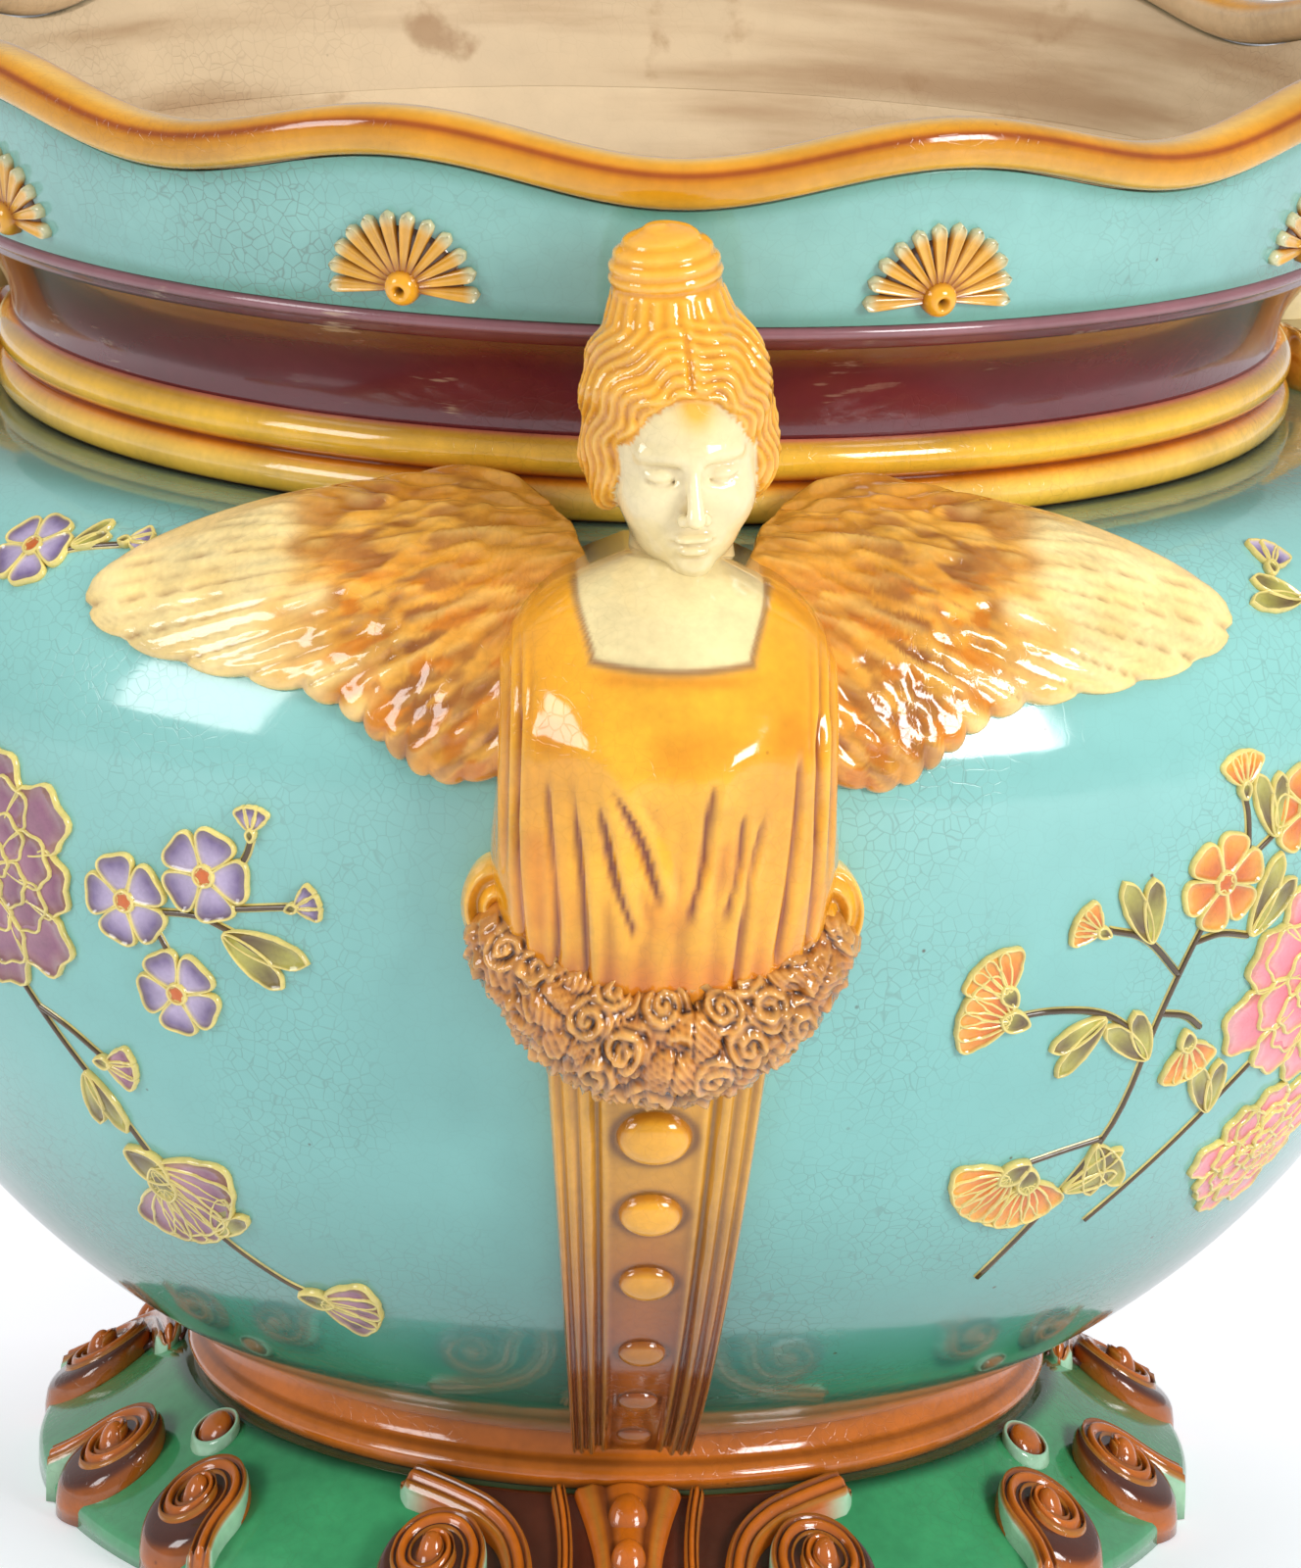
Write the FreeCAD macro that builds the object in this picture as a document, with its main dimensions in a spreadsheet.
"""Large glazed earthenware cachepot on a scrolled foot, carried by three winged herm figures.

Frame: millimetres, +Z up, origin on the floor under the middle of the pot, front figure at -Y.
"""
import FreeCAD, Part
import math
import os

import Sketcher
from FreeCAD import Placement, Rotation, Vector

DIMENSIONS = {
    # Thrown vessel
    "belly_radius": 230.0,
    "belly_level": 239.0,
    "shoulder_radius": 58.0,
    "wall": 9.0,
    "floor_thickness": 10.0,
    "neck_inset": 20.0,
    "foot_radius": 115.0,
    "foot_level": 47.0,
    # Luted joints between the moulded pieces
    "lute_gap": 0.3,
    # Neck rings
    "bead_inset": 6.5,
    "bead_height": 21.0,
    "bead_bulge": 3.9,
    "band_height": 31.0,
    "band_lip": 4.0,
    "collar_spread": 11.6,
    "collar_height": 34.0,
    "collar_flare": 10.4,
    # Wavy rim
    "lobes": 9.0,
    "lobe_rise": 5.0,
    "rim_height": 12.0,
    "rim_overhang": 3.0,
    # Foot
    "ring_inset": 2.0,
    "ring_waist": 3.0,
    "ring_depth": 25.0,
    "plinth_height": 31.0,
    "plinth_ledge": 4.0,
    "plinth_spread": 39.0,
    "plinth_edge": 6.0,
    "plinth_shell": 12.0,
    # Winged figure
    "figures": 3.0,
    "head_clearance": 30.4,
    "head_rise": 48.0,
    "head_half_width": 23.5,
    "head_half_depth": 25.0,
    "head_half_height": 26.0,
    "face_half_width": 17.5,
    "face_half_depth": 20.0,
    "face_half_height": 28.0,
    "face_forward": 8.0,
    "face_drop": 17.0,
    "bun_half_width": 13.0,
    "bun_half_height": 8.5,
    "neck_foot_radius": 15.0,
    "neck_top_radius": 12.0,
    "bust_neck_rise": 3.0,
    "bust_neck_half_width": 20.0,
    "bust_neck_setback": 34.0,
    "bust_top_drop": 8.0,
    "bust_chest_drop": 32.0,
    "bust_waist_drop": 68.0,
    "bust_hem_drop": 92.0,
    "bust_top_half_width": 31.0,
    "bust_half_width": 41.0,
    "bust_hem_half_width": 37.0,
    "bust_relief": 36.0,
    "bust_top_setback": 22.0,
    "bust_hem_setback": 9.0,
    "wing_thickness": 8.0,
    "wing_span": 143.0,
    "wing_root": 28.0,
    "wing_root_rise": 6.0,
    "wing_crest": 66.0,
    "wing_crest_rise": 10.0,
    "wing_tip_rise": 37.0,
    "wing_tip_round": 6.0,
    "wing_hem": 42.0,
    "wing_hem_rise": 7.0,
    "wing_scallops": 6.0,
    "swag_half_width": 42.0,
    "swag_end_rise": 14.0,
    "swag_low_drop": 15.0,
    "swag_radius": 18.0,
    "swag_end_radius": 7.0,
    "swag_forward": 10.0,
    "pilaster_top_drop": 9.0,
    "pilaster_toe_rise": 6.0,
    "pilaster_top_half_width": 27.0,
    "pilaster_toe_half_width": 15.0,
    "pilaster_thickness": 8.0,
    "rib_height": 4.0,
    "rib_share": 0.14,
    "cabochons": 6.0,
    "cabochon_top_drop": 21.0,
    "cabochon_low_rise": 11.0,
    "cabochon_radius": 9.0,
    "cabochon_shrink": 0.87,
    # Straight runs that round forms are made in
    "bowl_runs": 10.0,
    "shoulder_runs": 5.0,
    "inside_runs": 6.0,
    "bead_runs": 4.0,
    "bust_runs": 6.0,
    "lobe_steps": 8.0,
    "ball_sides": 12.0,
    "scroll_sides": 16.0,
    # Half daisies on the collar
    "petals": 11.0,
    "petal_length": 19.0,
    "petal_round": 2.2,
    "petal_height": 4.0,
    "button_radius": 6.0,
    "button_height": 6.5,
    "button_hole": 2.2,
    "daisy_rise": 6.0,
    # Strapwork on the foot
    "strap_relief": 8.0,
    "scroll_relief": 14.0,
    "scroll_radius": 14.5,
    "scroll_band": 4.0,
    "scroll_groove": 2.2,
    "volute_out": 27.0,
    "volute_spread": 9.4,
    "foot_strap_half_width": 5.0,
    "boss_out": 6.0,
    "boss_half_length": 5.5,
    "boss_half_width": 4.0,
    "boss_height": 4.0,
    "console_out": 26.0,
    "console_scroll_spread": 20.6,
    "console_top_half_width": 12.0,
    "console_foot_half_width": 30.0,
    "console_disc_radius": 6.0,
}

# Sizes that follow from the driving ones
DERIVED = {
    "neck_bore": "belly_radius - shoulder_radius - neck_inset",
    "bead_root": "belly_radius - shoulder_radius - bead_inset",
    "collar_foot_radius": "belly_radius - shoulder_radius + collar_spread",
    "ring_radius": "foot_radius - ring_inset",
    "ring_bore": "ring_radius - ring_depth",
    "plinth_top_radius": "ring_radius + plinth_ledge",
    "plinth_radius": "plinth_top_radius + plinth_spread",
    "head_reach": "collar_foot_radius + head_clearance",
    "head_level": "belly_level + shoulder_radius + head_rise",
    "bust_neck_level": "belly_level + shoulder_radius + bust_neck_rise",
    "bust_top_level": "bust_neck_level - bust_top_drop",
    "bust_chest_level": "bust_neck_level - bust_chest_drop",
    "bust_waist_level": "bust_neck_level - bust_waist_drop",
    "bust_hem_level": "bust_neck_level - bust_hem_drop",
    "wing_hem_level": "belly_level + wing_hem_rise",
    "wing_crest_level": "belly_level + shoulder_radius + wing_crest_rise",
    "wing_root_level": "belly_level + shoulder_radius + wing_root_rise",
    "wing_tip_level": "belly_level + wing_tip_rise",
    "swag_end_level": "bust_hem_level + swag_end_rise",
    "swag_low_level": "bust_hem_level - swag_low_drop",
    "swag_reach": "belly_radius + swag_forward",
    "pilaster_top_level": "swag_low_level - pilaster_top_drop",
    "pilaster_toe_level": "foot_level + pilaster_toe_rise",
    "cabochon_top_level": "pilaster_top_level - cabochon_top_drop",
    "cabochon_low_level": "pilaster_toe_level + cabochon_low_rise",
    "daisy_level": "belly_level + shoulder_radius + bead_height + band_height + daisy_rise",
    "volute_reach": "plinth_top_radius + volute_out",
    "boss_reach": "plinth_top_radius + boss_out",
    "console_scroll_reach": "plinth_top_radius + console_out",
}

doc = FreeCAD.newDocument("cachepot")
sheet = doc.addObject("Spreadsheet::Sheet", "dims")
for row, (alias, size) in enumerate(DIMENSIONS.items(), start=1):
    sheet.set(f"A{row}", alias)
    sheet.set(f"B{row}", str(size))
    sheet.setAlias(f"B{row}", alias)
for row, (alias, formula) in enumerate(DERIVED.items(), start=len(DIMENSIONS) + 1):
    sheet.set(f"A{row}", alias)
    sheet.set(f"B{row}", f"={formula}")
    sheet.setAlias(f"B{row}", alias)
    doc.recompute()
doc.recompute()

pieces = []

# Levels and radii that follow from the driving sizes, written once as sheet expressions
SHOULDER_LEVEL = "(dims.belly_level + dims.shoulder_radius)"
SHOULDER_TOP = "(dims.belly_radius - dims.shoulder_radius)"
BAND_LEVEL = f"({SHOULDER_LEVEL} + dims.bead_height)"
COLLAR_LEVEL = f"({BAND_LEVEL} + dims.band_height)"
BOWL_RISE = "(dims.belly_level - dims.foot_level)"
BOWL_SPREAD = "(dims.belly_radius - dims.foot_radius)"
BOWL_ARC = f"(({BOWL_SPREAD}^2 + {BOWL_RISE}^2) / (2 * {BOWL_SPREAD}))"
BOWL_CENTRE = f"(dims.belly_radius - {BOWL_ARC})"


def number(expression):
    """Return the present value of a sheet expression."""
    return float(sheet.evalExpression(str(expression)))


def size(alias):
    """Return one driving dimension."""
    return number(f"dims.{alias}")


def count(alias):
    """Return a driving number of copies."""
    return int(round(size(alias)))


def keep(shape_object, label):
    """Name an object as a finished piece of the pot."""
    shape_object.Label = label
    pieces.append(shape_object)
    return shape_object


def coded(label, shape):
    """Hold a shape that is made by functions."""
    feature = doc.addObject("Part::Feature", label)
    feature.Label = label
    feature.Shape = shape
    return feature


def hold_corner(sketch, where, axis, expression):
    """Tie one coordinate of a sketch point to the sheet."""
    geometry, end = where
    value = number(expression)
    kind = "DistanceX" if axis == 0 else "DistanceY"
    if abs(value) < 1e-9:
        sketch.addConstraint(Sketcher.Constraint("PointOnObject", geometry, end, -2 if axis == 0 else -1))
        return
    if value > 0:
        constraint = Sketcher.Constraint(kind, -1, 1, geometry, end, value)
    else:
        constraint = Sketcher.Constraint(kind, geometry, end, -1, 1, -value)
        expression = f"-({expression})"
    index = sketch.addConstraint(constraint)
    sketch.setExpression(f"Constraints[{index}]", expression)


def arc_between(start, end, radius, side):
    """Return the short arc from start to end, with its centre on the given side (1 is left)."""
    chord = end - start
    middle = (start + end) * 0.5
    left = Vector(-chord.y, chord.x, 0).normalize()
    centre = middle + left * (side * math.sqrt(max(radius**2 - (chord.Length / 2) ** 2, 0.0)))
    first, last = (start, end) if side > 0 else (end, start)
    begin = math.atan2(first.y - centre.y, first.x - centre.x)
    finish = math.atan2(last.y - centre.y, last.x - centre.x)
    return Part.ArcOfCircle(Part.Circle(centre, Vector(0, 0, 1), radius), begin, finish)


def draw(sketch, corners):
    """Draw a closed outline whose corners, and arc radii where given, follow the sheet.

    A corner is (x, y) before a straight side, or (x, y, radius, side) before an arc.
    """
    points = [Vector(number(corner[0]), number(corner[1]), 0) for corner in corners]
    ends = []
    for index, corner in enumerate(corners):
        start = points[index]
        end = points[(index + 1) % len(corners)]
        if len(corner) == 2:
            ends.append((sketch.addGeometry(Part.LineSegment(start, end), False), 1, 2))
            continue
        radius, side = corner[2:]
        geometry = sketch.addGeometry(arc_between(start, end, number(radius), side), False)
        ends.append((geometry, 1, 2) if side > 0 else (geometry, 2, 1))
        held = sketch.addConstraint(Sketcher.Constraint("Radius", geometry, number(radius)))
        sketch.setExpression(f"Constraints[{held}]", radius)
    for index, (geometry, begin, _) in enumerate(ends):
        before, _, finish = ends[index - 1]
        sketch.addConstraint(Sketcher.Constraint("Coincident", before, finish, geometry, begin))
        for axis in (0, 1):
            hold_corner(sketch, (geometry, begin), axis, corners[index][axis])


def arc_runs(centre, radius, first, last, runs):
    """Corners along an arc that is turned in straight runs, without the last corner."""
    corners = []
    for index in range(runs):
        angle = f"({first} + {index / runs} * ({last} - {first}))"
        corners.append((f"({centre[0]} + {radius} * cos({angle}))", f"({centre[1]} + {radius} * sin({angle}))"))
    return corners


def new_sketch(body, role, outlines):
    """Add a sketch of closed outlines on one of a body's origin planes."""
    plane = next(item for item in body.Origin.OriginFeatures if item.Role == role)
    sketch = body.newObject("Sketcher::SketchObject", f"{body.Name}_sketch")
    sketch.AttachmentSupport = [(plane, "")]
    sketch.MapMode = "FlatFace"
    doc.recompute()
    for corners in outlines:
        draw(sketch, corners)
    return sketch


def turned(name, corners):
    """Revolve a profile, drawn as radius and height, round the pot's axis."""
    body = doc.addObject("PartDesign::Body", name)
    sketch = new_sketch(body, "XZ_Plane", [corners])
    revolution = body.newObject("PartDesign::Revolution", f"{name}_turn")
    revolution.Profile = sketch
    revolution.ReferenceAxis = (sketch, ["V_Axis"])
    revolution.Angle = 360.0
    doc.recompute()
    return body


def padded(name, role, outlines, length):
    """Pad closed outlines along the normal of an origin plane."""
    body = doc.addObject("PartDesign::Body", name)
    sketch = new_sketch(body, role, outlines)
    pad = body.newObject("PartDesign::Pad", f"{name}_pad")
    pad.Profile = sketch
    pad.setExpression("Length", length)
    doc.recompute()
    return body


def joined(kind, name, base, tool):
    """Combine two objects with a cut or a common."""
    result = doc.addObject(kind, name)
    result.Base = base
    result.Tool = tool
    doc.recompute()
    return result


def relief(name, outline, far, near):
    """Keep what an outline covers between a far skin and a near one."""
    layer = joined("Part::Common", f"{name}_layer", outline, far)
    return joined("Part::Cut", name, layer, near)


def faceted(rings, closed=False):
    """A solid of flat facets through rings that all have the same number of corners."""
    faces = []
    for index in range(len(rings) if closed else len(rings) - 1):
        low = rings[index]
        high = rings[(index + 1) % len(rings)]
        for side in range(len(low)):
            after = (side + 1) % len(low)
            for corners in ((low[side], low[after], high[after]), (low[side], high[after], high[side])):
                faces.append(Part.Face(Part.makePolygon([*corners, corners[0]])))
    if not closed:
        faces += [Part.Face(Part.makePolygon([*ring, ring[0]])) for ring in (rings[0], rings[-1])]
    shell = Part.makeShell(faces)
    shell.sewShape()
    solid = Part.makeSolid(shell)
    if solid.Volume < 0:
        solid.reverse()
    return solid


def ball(half_sizes, place):
    """An upright oval ball of flat facets with its middle at a place."""
    sides = count("ball_sides")
    bands = sides // 2
    wide, deep, high = half_sizes
    rings = []
    for index in range(bands + 1):
        slope = math.radians(-80.0 + 160.0 * index / bands)
        turns = [2 * math.pi * side / sides for side in range(sides)]
        rings.append([place + Vector(wide * math.cos(slope) * math.cos(turn), deep * math.cos(slope) * math.sin(turn),
                                     high * math.sin(slope)) for turn in turns])
    return faceted(rings)


def turned_copies(master, labels, first_angle, step):
    """Set copies of a piece round the pot's axis, each as a piece of its own."""
    for index, label in enumerate(labels):
        copy = coded(label, master.Shape.copy())
        copy.Placement = Placement(Vector(), Rotation(Vector(0, 0, 1), first_angle + index * step))
        keep(copy, label)


# Vessel and neck rings
def bowl_corners(offset):
    """Corners of the bowl's outside from foot to shoulder top, moved outwards by an offset."""
    bowl = f"({BOWL_ARC} + {offset})"
    corners = arc_runs((BOWL_CENTRE, "dims.belly_level"), bowl, f"-asin({BOWL_RISE} / {bowl})", "0 deg",
                       count("bowl_runs"))
    return corners + arc_runs((SHOULDER_TOP, "dims.belly_level"), f"(dims.shoulder_radius + {offset})",
                              "0 deg", "90 deg", count("shoulder_runs"))


def make_belly():
    """A thrown bowl, closed below, drawn in over a round shoulder to the neck."""
    inner_floor = "(dims.foot_level + dims.floor_thickness)"
    inner_arc = f"({BOWL_ARC} - dims.wall)"
    inner_shoulder = "(dims.shoulder_radius - dims.wall)"
    floor_drop = f"(dims.belly_level - {inner_floor})"
    floor_radius = f"(sqrt({inner_arc}^2 - {floor_drop}^2) + {BOWL_CENTRE})"
    under_shoulder = f"({SHOULDER_LEVEL} - dims.wall)"
    inside = arc_runs((SHOULDER_TOP, "dims.belly_level"), inner_shoulder, "90 deg", "0 deg", count("inside_runs") // 2)
    inside += arc_runs((BOWL_CENTRE, "dims.belly_level"), inner_arc, "0 deg", f"-asin({floor_drop} / {inner_arc})",
                       count("inside_runs"))
    body = turned("belly", [
        ("0", "dims.foot_level"),
        *bowl_corners("0"),
        (SHOULDER_TOP, SHOULDER_LEVEL),
        ("dims.neck_bore", SHOULDER_LEVEL),
        ("dims.neck_bore", under_shoulder),
        *inside,
        (floor_radius, inner_floor),
        ("0", inner_floor),
    ])
    return keep(body, "belly")


def make_neck_bead():
    """A ring of two round beads on the shoulder."""
    bead_round = "((dims.bead_height^2 / 16 + dims.bead_bulge^2) / (2 * dims.bead_bulge))"
    half_angle = f"asin(dims.bead_height / 4 / {bead_round})"
    centre = f"(dims.bead_root + dims.bead_bulge - {bead_round})"
    beads = []
    for share in (0.25, 0.75):
        level = f"({SHOULDER_LEVEL} + {share} * dims.bead_height)"
        beads += arc_runs((centre, level), bead_round, f"-{half_angle}", half_angle, count("bead_runs"))
    return keep(turned("neck_bead", [
        ("dims.neck_bore", SHOULDER_LEVEL),
        *beads,
        ("dims.bead_root", BAND_LEVEL),
        ("dims.neck_bore", BAND_LEVEL),
    ]), "neck_bead")


def make_neck_band():
    """The hollow moulding between the beads and the collar, with a small lip on top."""
    runs = count("bead_runs")
    hollow = []
    for index in range(runs):
        share = index / runs
        hollow.append((f"(dims.bead_root + {share ** 2} * (dims.collar_foot_radius - dims.bead_root))",
                       f"({BAND_LEVEL} + {share} * (dims.band_height - dims.band_lip))"))
    return keep(turned("neck_band", [
        ("dims.neck_bore", BAND_LEVEL),
        *hollow,
        ("dims.collar_foot_radius", f"({COLLAR_LEVEL} - dims.band_lip)"),
        ("dims.collar_foot_radius", COLLAR_LEVEL),
        ("(dims.collar_foot_radius - dims.wall)", COLLAR_LEVEL),
    ]), "neck_band")


def rim_level(angle):
    """Return the height of the collar's waved edge, whose dips face the figures."""
    wave = -size("lobe_rise") * math.cos(math.radians(count("lobes") * angle))
    return number(COLLAR_LEVEL) + size("collar_height") + wave


def collar_radius(level):
    """Return the collar's outer radius at a height."""
    climb = (level - number(COLLAR_LEVEL)) / size("collar_height")
    return size("collar_foot_radius") + size("collar_flare") * climb


def waved_ring(section):
    """A closed ring of facets through upright sections that follow the wave."""
    steps = count("lobe_steps") * count("lobes")
    rings = []
    for index in range(steps):
        angle = 360.0 * index / steps
        around = Rotation(Vector(0, 0, 1), angle)
        rings.append([around.multVec(Vector(0, -radius, level)) for radius, level in section(angle)])
    return faceted(rings, closed=True)


def collar_section(angle):
    """Corners, as radius and height, of one section through the flared collar."""
    top = rim_level(angle)
    return [
        (number("dims.collar_foot_radius - dims.wall"), number(COLLAR_LEVEL)),
        (size("collar_foot_radius"), number(COLLAR_LEVEL)),
        (collar_radius(top), top),
        (collar_radius(top) - size("wall"), top),
    ]


def rim_section(angle):
    """Corners, as radius and height, of one section through the rounded rim on the collar."""
    foot = rim_level(angle) + size("lute_gap")
    outer = collar_radius(rim_level(angle)) + size("rim_overhang")
    inner = outer - size("wall") - 1.5 * size("rim_overhang")
    high = size("rim_height")
    middle = (inner + outer) / 2
    return [
        (inner, foot),
        (outer, foot),
        (outer + size("rim_overhang") / 2, foot + 0.3 * high),
        (outer, foot + 0.6 * high),
        ((outer + middle) / 2, foot + 0.9 * high),
        (middle, foot + high),
        ((inner + middle) / 2, foot + 0.9 * high),
        (inner, foot + 0.6 * high),
    ]


def make_mouth():
    """The flared collar with its waved edge, and the rounded rim along that edge."""
    keep(coded("collar", waved_ring(collar_section)), "collar")
    keep(coded("rim_bead", waved_ring(rim_section)), "rim_bead")


# Foot
def make_foot():
    """The waisted ring under the bowl and the sloping, hollow plinth under the ring."""
    scoop = "(dims.foot_level - dims.plinth_height)"
    half_level = f"(dims.plinth_height + {scoop} / 2)"
    runs = count("bead_runs")
    bead = []
    for index in range(runs):
        share = index / runs
        bulge = round(0.19 * math.sin(math.pi * share), 4)
        bead.append((f"(dims.ring_radius + {bulge} * {scoop})", f"(dims.plinth_height + {share} * {scoop} / 2)"))
    keep(turned("foot_ring", [
        ("dims.ring_bore", "dims.plinth_height"),
        *bead,
        ("dims.ring_radius", half_level),
        ("(dims.ring_radius - 0.8 * dims.ring_waist)", f"({half_level} + {scoop} / 4)"),
        ("(dims.ring_radius - dims.ring_waist)", "dims.foot_level"),
        ("dims.ring_bore", "dims.foot_level"),
    ]), "foot_ring")
    under_edge = "(dims.plinth_radius - dims.plinth_shell)"
    under_top = "(dims.plinth_height - dims.plinth_shell / 2)"
    keep(turned("plinth", [
        (under_edge, "0"),
        ("dims.plinth_radius", "0"),
        ("dims.plinth_radius", "dims.plinth_edge"),
        ("dims.plinth_top_radius", "dims.plinth_height"),
        ("dims.ring_bore", "dims.plinth_height"),
        ("dims.ring_bore", under_top),
        ("(dims.plinth_top_radius - dims.plinth_shell)", under_top),
    ]), "plinth")


# Skins that ornaments are shaped against
def vessel_skin(name, offset):
    """The bowl's outside moved outwards, with the neck beads above it, as a solid."""
    neck = "(dims.bead_root + dims.bead_bulge + dims.lute_gap)"
    shoulder_top = f"({SHOULDER_LEVEL} + {offset})"
    return turned(name, [
        ("0", "dims.foot_level"),
        *bowl_corners(offset),
        (SHOULDER_TOP, shoulder_top),
        (neck, shoulder_top),
        (neck, COLLAR_LEVEL),
        ("0", COLLAR_LEVEL),
    ])


def plinth_skin(name, offset):
    """The plinth's outside moved outwards along the radius, as a solid."""
    return turned(name, [
        ("0", "0"),
        (f"(dims.plinth_radius + {offset})", "0"),
        (f"(dims.plinth_radius + {offset})", "dims.plinth_edge"),
        (f"(dims.plinth_top_radius + {offset})", "dims.plinth_height"),
        ("0", "dims.plinth_height"),
    ])


# Winged figure, made at the front
def bust_section(level, half_width, front, spare):
    """Corners of one level section of the bust: straight sides and a round front."""
    half_width += spare
    front += spare
    side = front - 0.75 * half_width
    back = number(SHOULDER_TOP)
    ends = Vector(-half_width, -side, level), Vector(half_width, -side, level)
    round_front = Part.Arc(ends[0], Vector(0, -front, level), ends[1]).toShape()
    corners = round_front.discretize(Number=count("bust_runs") + 1)
    return corners + [Vector(half_width, -back, level), Vector(-half_width, -back, level)]


def bust_body(spare):
    """The draped bust from hem to shoulders, grown by a spare allowance on its sides."""
    front = number("dims.belly_radius + dims.bust_relief")
    middle = number("(dims.bust_chest_level + dims.bust_waist_level) / 2")
    rows = [
        (size("bust_hem_level"), size("bust_hem_half_width"), front - size("bust_hem_setback")),
        (size("bust_waist_level"), size("bust_half_width"), front - size("bust_hem_setback") / 3),
        (middle, size("bust_half_width"), front),
        (size("bust_chest_level"), size("bust_half_width"), front),
        (size("bust_top_level"), size("bust_top_half_width"), front - size("bust_top_setback")),
        (size("bust_neck_level"), size("bust_neck_half_width"), front - size("bust_neck_setback")),
    ]
    return faceted([bust_section(*row, spare) for row in rows])


def swag_body(spare):
    """The flower garland as a roll that thickens towards its middle."""
    end_reach = size("belly_radius") - size("swag_end_radius") / 2
    sides = count("ball_sides")
    rings = []
    for share in (-1.0, -0.8, -0.55, -0.28, 0.0, 0.28, 0.55, 0.8, 1.0):
        fall = 1 - share**2
        span = share * size("swag_half_width")
        level = size("swag_end_level") - (size("swag_end_level") - size("swag_low_level")) * fall
        reach = end_reach + (size("swag_reach") - end_reach) * fall**0.5
        radius = spare + size("swag_end_radius") + (size("swag_radius") - size("swag_end_radius")) * fall
        drop = 2 * share * (size("swag_end_level") - size("swag_low_level")) / size("swag_half_width")
        across = Vector(-drop, 0, 1).normalize() * radius
        outward = Vector(0, -radius, 0)
        turns = [2 * math.pi * side / sides for side in range(sides)]
        rings.append([Vector(span, -reach, level) + across * math.cos(turn) + outward * math.sin(turn)
                      for turn in turns])
    return faceted(rings)


def make_head():
    """Head with its hair, bun and neck, standing on the bust's top."""
    reach = size("head_reach")
    level = size("head_level")
    forward = size("face_forward")
    bun_level = level + size("head_half_height") - size("bun_half_height") / 2
    skull = ball((size("head_half_width"), size("head_half_depth"), size("head_half_height")),
                 Vector(0, -reach, level))
    face = ball((size("face_half_width"), size("face_half_depth"), size("face_half_height")),
                Vector(0, -reach - forward, level - size("face_drop")))
    bun = ball((size("bun_half_width"), size("bun_half_width"), size("bun_half_height")),
               Vector(0, -reach + forward / 2, bun_level))
    neck = Part.makeCone(size("neck_foot_radius"), size("neck_top_radius"), level - size("bust_neck_level"),
                         Vector(0, -reach + forward / 2, size("bust_neck_level")))
    return coded("head", skull.multiFuse([face, bun, neck]).removeSplitter())


def make_wing(far, near):
    """One wing as a plate on the shoulder, with a rounded lead edge and a scalloped hem."""
    scallops = count("wing_scallops")
    hem_rise = "(dims.wing_tip_level - dims.wing_tip_round - dims.wing_hem_level)"
    hem_run = "(dims.wing_span - dims.wing_tip_round - dims.wing_hem)"
    corners = [("dims.wing_root", "dims.wing_root_level"), ("dims.wing_root", "dims.wing_hem_level")]
    for index in range(scallops):
        share = index / scallops
        corners.append((f"dims.wing_hem + {share} * {hem_run}",
                        f"dims.wing_hem_level + {share ** 0.8} * {hem_rise}",
                        f"{hem_run} / {scallops} * 0.8", 1))
    corners.append(("dims.wing_span - dims.wing_tip_round", "dims.wing_tip_level - dims.wing_tip_round",
                    "dims.wing_tip_round", 1))
    corners.append(("dims.wing_span", "dims.wing_tip_level", f"{hem_run} * 1.6", 1))
    corners.append(("dims.wing_crest", "dims.wing_crest_level", f"{hem_run} * 0.8", 1))
    outline = padded("wing_outline", "XZ_Plane", [corners], "1.5 * dims.belly_radius")
    plate = relief("wing_plate", outline, far, near)
    clear = coded("bust_clear", bust_body(size("lute_gap")))
    return joined("Part::Cut", "wing", plate, clear)


def strip(inner_share, outer_share):
    """Outline of a lengthwise strip of the pilaster, between two shares of its half width."""
    top = "dims.pilaster_top_half_width"
    toe = "dims.pilaster_toe_half_width"
    return [
        (f"{inner_share} * {toe}", "dims.pilaster_toe_level"),
        (f"{outer_share} * {toe}", "dims.pilaster_toe_level"),
        (f"{outer_share} * {top}", "dims.pilaster_top_level"),
        (f"{inner_share} * {top}", "dims.pilaster_top_level"),
    ]


def make_pilaster(panel_skin, rib_skin, near, swag_clear):
    """The tapering pilaster that follows the bowl down to the foot, with four raised ribs."""
    rib = size("rib_share")
    shares = [(-1.0, rib - 1.0), (-0.55 - rib, -0.55), (0.55, 0.55 + rib), (1.0 - rib, 1.0)]
    reach = "1.5 * dims.belly_radius"
    panel = padded("pilaster_panel", "XZ_Plane", [strip(-1.0, 1.0)], reach)
    ribs = padded("pilaster_ribs", "XZ_Plane", [strip(*pair) for pair in shares], reach)
    both = doc.addObject("Part::MultiFuse", "pilaster_layers")
    both.Shapes = [joined("Part::Common", "panel_layer", panel, panel_skin),
                   joined("Part::Common", "rib_layer", ribs, rib_skin)]
    doc.recompute()
    seated = joined("Part::Cut", "pilaster_seated", both, near)
    return joined("Part::Cut", "pilaster", seated, swag_clear)


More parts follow.
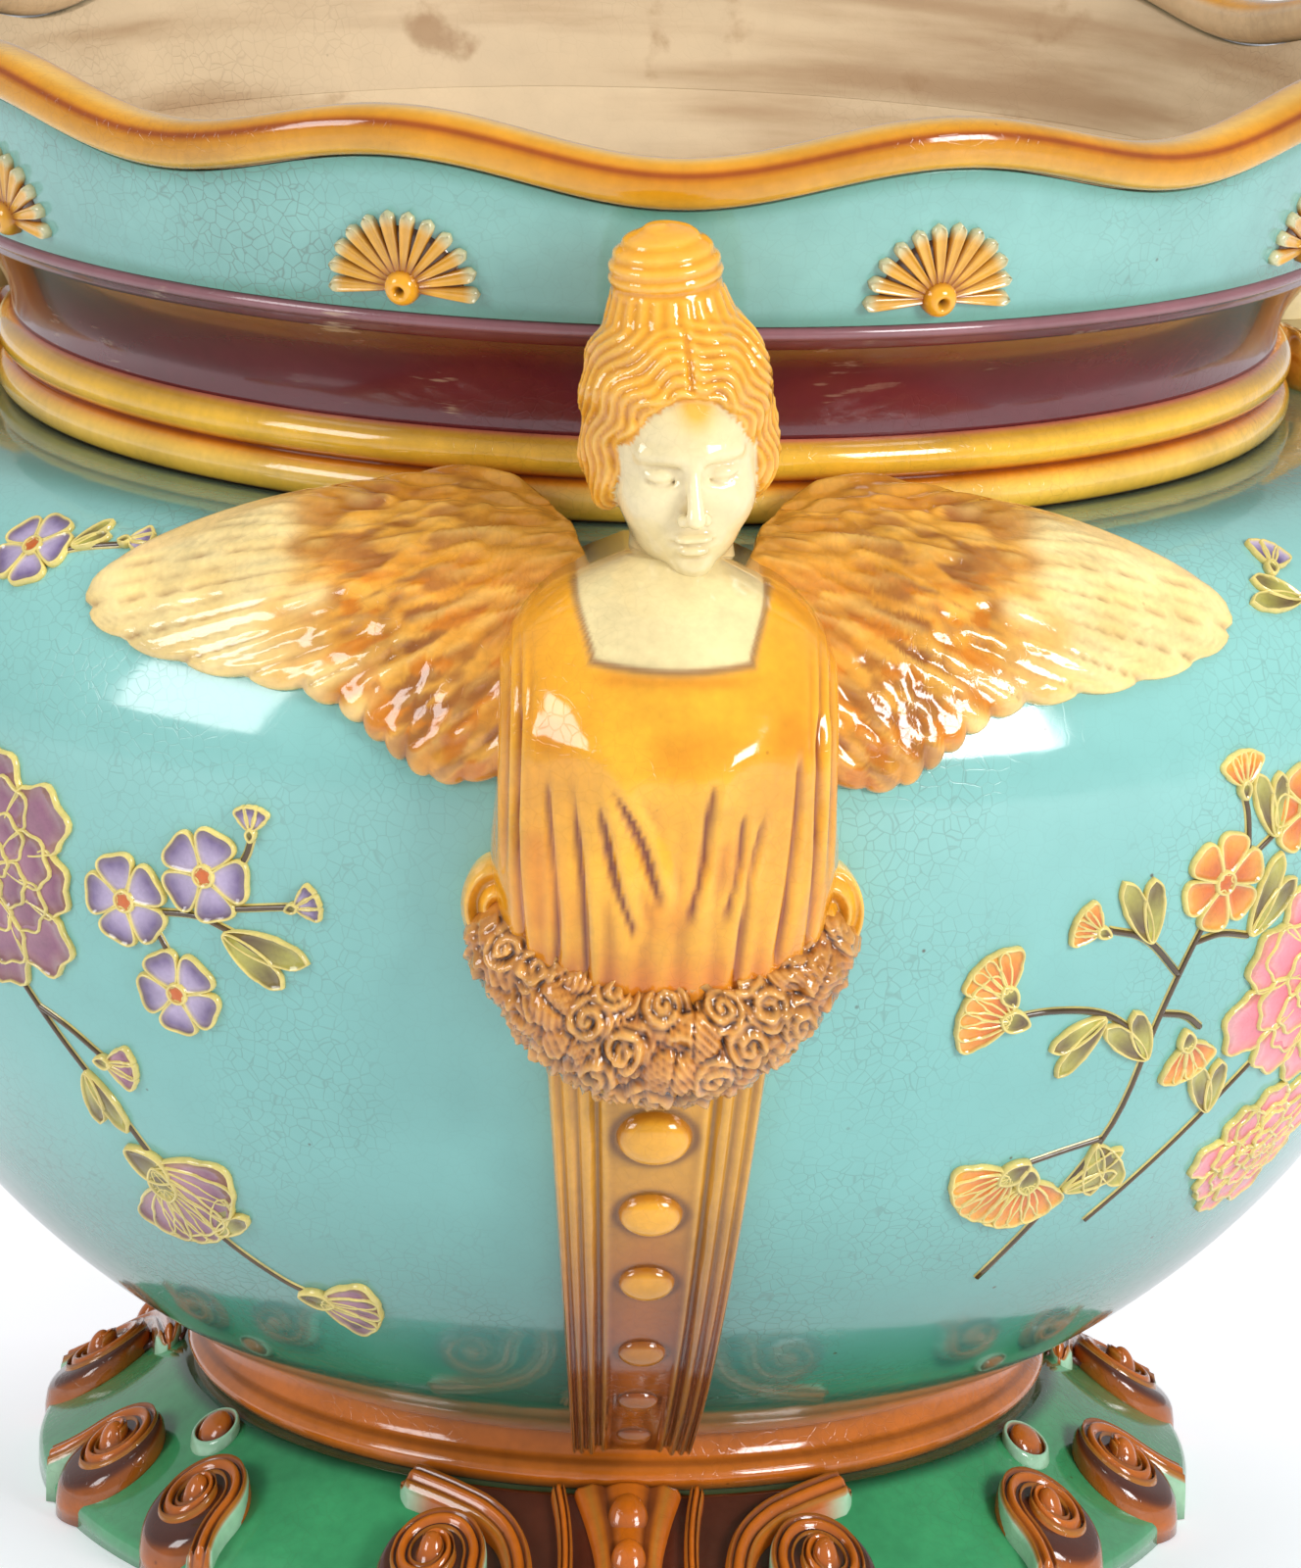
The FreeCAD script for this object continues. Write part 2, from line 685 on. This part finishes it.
def make_cabochons(panel_seat):
    """Oval drops that shrink down the pilaster's panel."""
    drops = []
    total = count("cabochons")
    shrink = size("cabochon_shrink")
    steps = [shrink**index for index in range(total - 1)]
    for index in range(total):
        share = sum(steps[:index]) / sum(steps)
        level = number("dims.cabochon_top_level") - share * number("dims.cabochon_top_level - dims.cabochon_low_level")
        radius = size("cabochon_radius") * shrink**index
        skin_arc = number(BOWL_ARC) + size("pilaster_thickness")
        reach = math.sqrt(skin_arc**2 - (size("belly_level") - level) ** 2) + number(BOWL_CENTRE)
        drop = coded(f"drop_{index}", ball((radius, 0.7 * radius, 0.8 * radius), Vector(0, -reach, level)))
        drops.append(joined("Part::Cut", f"cabochon_{index}", drop, panel_seat))
    group = doc.addObject("Part::Compound", "cabochons")
    group.Links = drops
    doc.recompute()
    return group


def make_figures():
    """Make one figure at the front and set it round the pot."""
    near = vessel_skin("vessel_near", "dims.lute_gap")
    wing_skin = vessel_skin("wing_skin", "dims.wing_thickness")
    panel_skin = vessel_skin("panel_skin", "dims.pilaster_thickness")
    panel_seat = vessel_skin("panel_seat", "(dims.pilaster_thickness + dims.lute_gap)")
    rib_skin = vessel_skin("rib_skin", "(dims.pilaster_thickness + dims.rib_height)")
    swag_clear = coded("swag_clear", swag_body(size("lute_gap")))
    garland = joined("Part::Cut", "garland", coded("swag", swag_body(0.0)), near)
    bust_on_bowl = joined("Part::Cut", "bust_on_bowl", coded("bust_solid", bust_body(0.0)), near)
    bust = joined("Part::Cut", "bust", bust_on_bowl, swag_clear)
    right_wing = make_wing(wing_skin, near)
    left_wing = doc.addObject("Part::Mirroring", "left_wing")
    left_wing.Source = right_wing
    left_wing.Normal = Vector(1, 0, 0)
    doc.recompute()
    masters = {
        "head": make_head(),
        "bust": bust,
        "right_wing": right_wing,
        "left_wing": left_wing,
        "garland": garland,
        "pilaster": make_pilaster(panel_skin, rib_skin, near, swag_clear),
        "cabochons": make_cabochons(panel_seat),
    }
    total = count("figures")
    for piece, master in masters.items():
        turned_copies(master, [f"figure_{index + 1}_{piece}" for index in range(total)], 0, 360.0 / total)


# Half daisies
def petal(angle):
    """One straight petal in the plane of the front, as a slab through the collar."""
    length = size("petal_length") - size("petal_round")
    root = size("button_radius") / 3
    tip = size("petal_round")
    corners = [Vector(-root, 0, 0), Vector(root, 0, 0), Vector(tip, 0, length), Vector(0, 0, length + tip)]
    corners += [Vector(-tip, 0, length), Vector(-root, 0, 0)]
    slab = Part.Face(Part.makePolygon(corners)).extrude(Vector(0, -2 * size("collar_foot_radius"), 0))
    slab.rotate(Vector(), Vector(0, 1, 0), angle)
    return slab


def collar_cone(offset):
    """The collar's outside cone moved outwards, as a solid."""
    foot = size("collar_foot_radius") + offset
    return Part.makeCone(foot, foot + size("collar_flare"), size("collar_height"),
                         Vector(0, 0, number(COLLAR_LEVEL)))


def make_daisies():
    """A fan of petals round a drilled button, set at every crest of the rim."""
    total = count("petals")
    at = Vector(0, 0, size("daisy_level"))
    fan = petal(-90.0)
    for index in range(1, total):
        fan = fan.fuse(petal(-90.0 + 180.0 * index / (total - 1)))
    fan.translate(at)
    button, hole = [
        Part.Face(Part.makePolygon([
            at + Vector(radius * math.cos(turn), 0, radius * math.sin(turn))
            for turn in [2 * math.pi * side / count("ball_sides") for side in range(count("ball_sides") + 1)]
        ])).extrude(Vector(0, -2 * size("collar_foot_radius"), 0))
        for radius in (size("button_radius"), size("button_hole"))
    ]
    raised = fan.common(collar_cone(size("petal_height")))
    raised = raised.fuse(button.common(collar_cone(size("button_height")))).cut(hole)
    daisy = coded("daisy", raised.cut(collar_cone(size("lute_gap"))).removeSplitter())
    total = count("lobes")
    turned_copies(daisy, [f"daisy_{index + 1}" for index in range(total)], 180.0 / total, 360.0 / total)


# Strapwork of the foot
def polar(reach, angle):
    """Return a point on the floor at an angle from the front."""
    return Vector(reach * math.sin(math.radians(angle)), -reach * math.cos(math.radians(angle)), 0)


def prism(corners):
    """Raise a straight sided plan outline to the plinth's height."""
    face = Part.Face(Part.makePolygon(corners + corners[:1]))
    return face.extrude(Vector(0, 0, size("plinth_height")))


def plan_arc(centre, radius, first, last):
    """Corners of a plan arc between two angles, in straight runs."""
    runs = max(3, round(abs(last - first) / 360.0 * count("scroll_sides")))
    angles = [math.radians(first + (last - first) * index / runs) for index in range(runs + 1)]
    return [centre + Vector(radius * math.cos(angle), radius * math.sin(angle), 0) for angle in angles]


def drum(centre, radius):
    """An upright drum of flat sides."""
    return prism(plan_arc(centre, radius, 0.0, 360.0)[:-1])


def scroll(centre, start_angle, hand):
    """A flat spiral band round a centre, winding inwards by half turns about two centres."""
    radius = size("scroll_radius")
    pitch = size("scroll_band") + size("scroll_groove")
    turn = Rotation(Vector(0, 0, 1), start_angle)
    band = drum(centre, size("scroll_band") / 1.5)
    half_turn = 0
    while radius > size("scroll_band"):
        swing = pitch / 4 if half_turn % 2 == 0 else -pitch / 4
        at = centre + turn.multVec(Vector(swing, 0, 0))
        first = start_angle + (180 if (half_turn % 2 == 0) == (hand < 0) else 0)
        outside = plan_arc(at, radius, first, first + 180.0)
        inside = plan_arc(at, radius - size("scroll_band"), first + 180.0, first)
        band = band.fuse(prism(outside + inside))
        radius -= pitch / 2
        half_turn += 1
    return band


def strap(start, end, half_width):
    """A straight band of the plan from one point to another."""
    along = (end - start).normalize()
    across = Vector(-along.y, along.x, 0) * half_width
    return prism([start - across, end - across, end + across, start + across])


def on_plinth(plan_low, plan_high, near):
    """Lay a plan on the plinth's slope: a low layer with a raised one on it."""
    low = plan_low.common(doc.getObject("strap_skin").Shape)
    high = plan_high.common(doc.getObject("scroll_skin").Shape)
    return low.fuse(high).cut(near.Shape).removeSplitter()


def make_feet(near):
    """Pairs of volutes with an oval boss between their straps, halfway between the figures."""
    total = count("figures")
    spread = size("volute_spread")
    top = polar(size("plinth_top_radius"), spread / 2)
    centre = polar(size("volute_reach"), spread)
    disc = drum(centre, size("scroll_radius") - size("scroll_band") / 2)
    leg = strap(top, centre, size("foot_strap_half_width"))
    eye = drum(centre, size("scroll_radius") - size("scroll_band"))
    right = coded("right_volute", on_plinth(disc.fuse(leg), scroll(centre, spread, 1).fuse(leg.cut(eye)), near))
    left = doc.addObject("Part::Mirroring", "left_volute")
    left.Source = right
    left.Normal = Vector(1, 0, 0)
    slope = number("(dims.boss_reach - dims.plinth_top_radius) / (dims.plinth_radius - dims.plinth_top_radius)")
    level = size("plinth_height") - slope * number("dims.plinth_height - dims.plinth_edge")
    drop = ball((size("boss_half_length"), size("boss_half_width"), size("boss_height")),
                Vector(0, -size("boss_reach"), level))
    boss = joined("Part::Cut", "boss", coded("boss_drop", drop), near)
    for piece, master in (("right_volute", right), ("left_volute", left), ("boss", boss)):
        labels = [f"foot_{index + 1}_{piece}" for index in range(total)]
        turned_copies(master, labels, 180.0 / total, 360.0 / total)


def make_consoles(near):
    """The strapwork panel under each figure: a shaft with two scrolls and two discs."""
    total = count("figures")
    top = size("plinth_top_radius")
    foot = size("plinth_radius") + size("strap_relief")
    narrow = size("console_top_half_width")
    wide = size("console_foot_half_width")
    shaft = prism([Vector(-narrow, -top + 2, 0), Vector(-wide, -foot, 0), Vector(wide, -foot, 0),
                   Vector(narrow, -top + 2, 0)])
    radius = size("console_disc_radius")
    raised = drum(Vector(0, -top - 2 * radius, 0), radius)
    raised = raised.fuse(drum(Vector(0, -top - 4.2 * radius, 0), radius * 0.8))
    low = shaft
    for hand in (1, -1):
        centre = polar(size("console_scroll_reach"), hand * size("console_scroll_spread"))
        low = low.fuse(drum(centre, size("scroll_radius") - size("scroll_band") / 2))
        low = low.fuse(strap(Vector(0, -(top + foot) / 2, 0), centre, size("scroll_band")))
        raised = raised.fuse(scroll(centre, hand * size("console_scroll_spread"), -hand))
    console = coded("console", on_plinth(low, raised, near))
    turned_copies(console, [f"console_{index + 1}" for index in range(total)], 0, 360.0 / total)


def make_strapwork():
    """Volutes, bosses and consoles, all seated on the plinth's slope."""
    near = plinth_skin("plinth_near", "dims.lute_gap")
    plinth_skin("strap_skin", "dims.strap_relief")
    plinth_skin("scroll_skin", "dims.scroll_relief")
    make_feet(near)
    make_consoles(near)


def check_and_write():
    """Stop on any failed object, then write one file for each piece."""
    doc.recompute()
    failed = [item.Label for item in doc.Objects if "Invalid" in item.State or "Error" in item.State]
    failed += [item.Label for item in pieces if item.Shape.isNull() or not item.Shape.isValid()]
    if failed:
        raise RuntimeError(f"failed objects: {failed}")
    os.makedirs("parts", exist_ok=True)
    for item in pieces:
        item.Shape.exportStep(os.path.join("parts", f"{item.Label}.step"))
        print(item.Label, len(item.Shape.Solids), round(item.Shape.Volume / 1000.0, 2), "cm3")


make_belly()
make_neck_bead()
make_neck_band()
make_mouth()
make_foot()
make_figures()
make_daisies()
make_strapwork()
check_and_write()
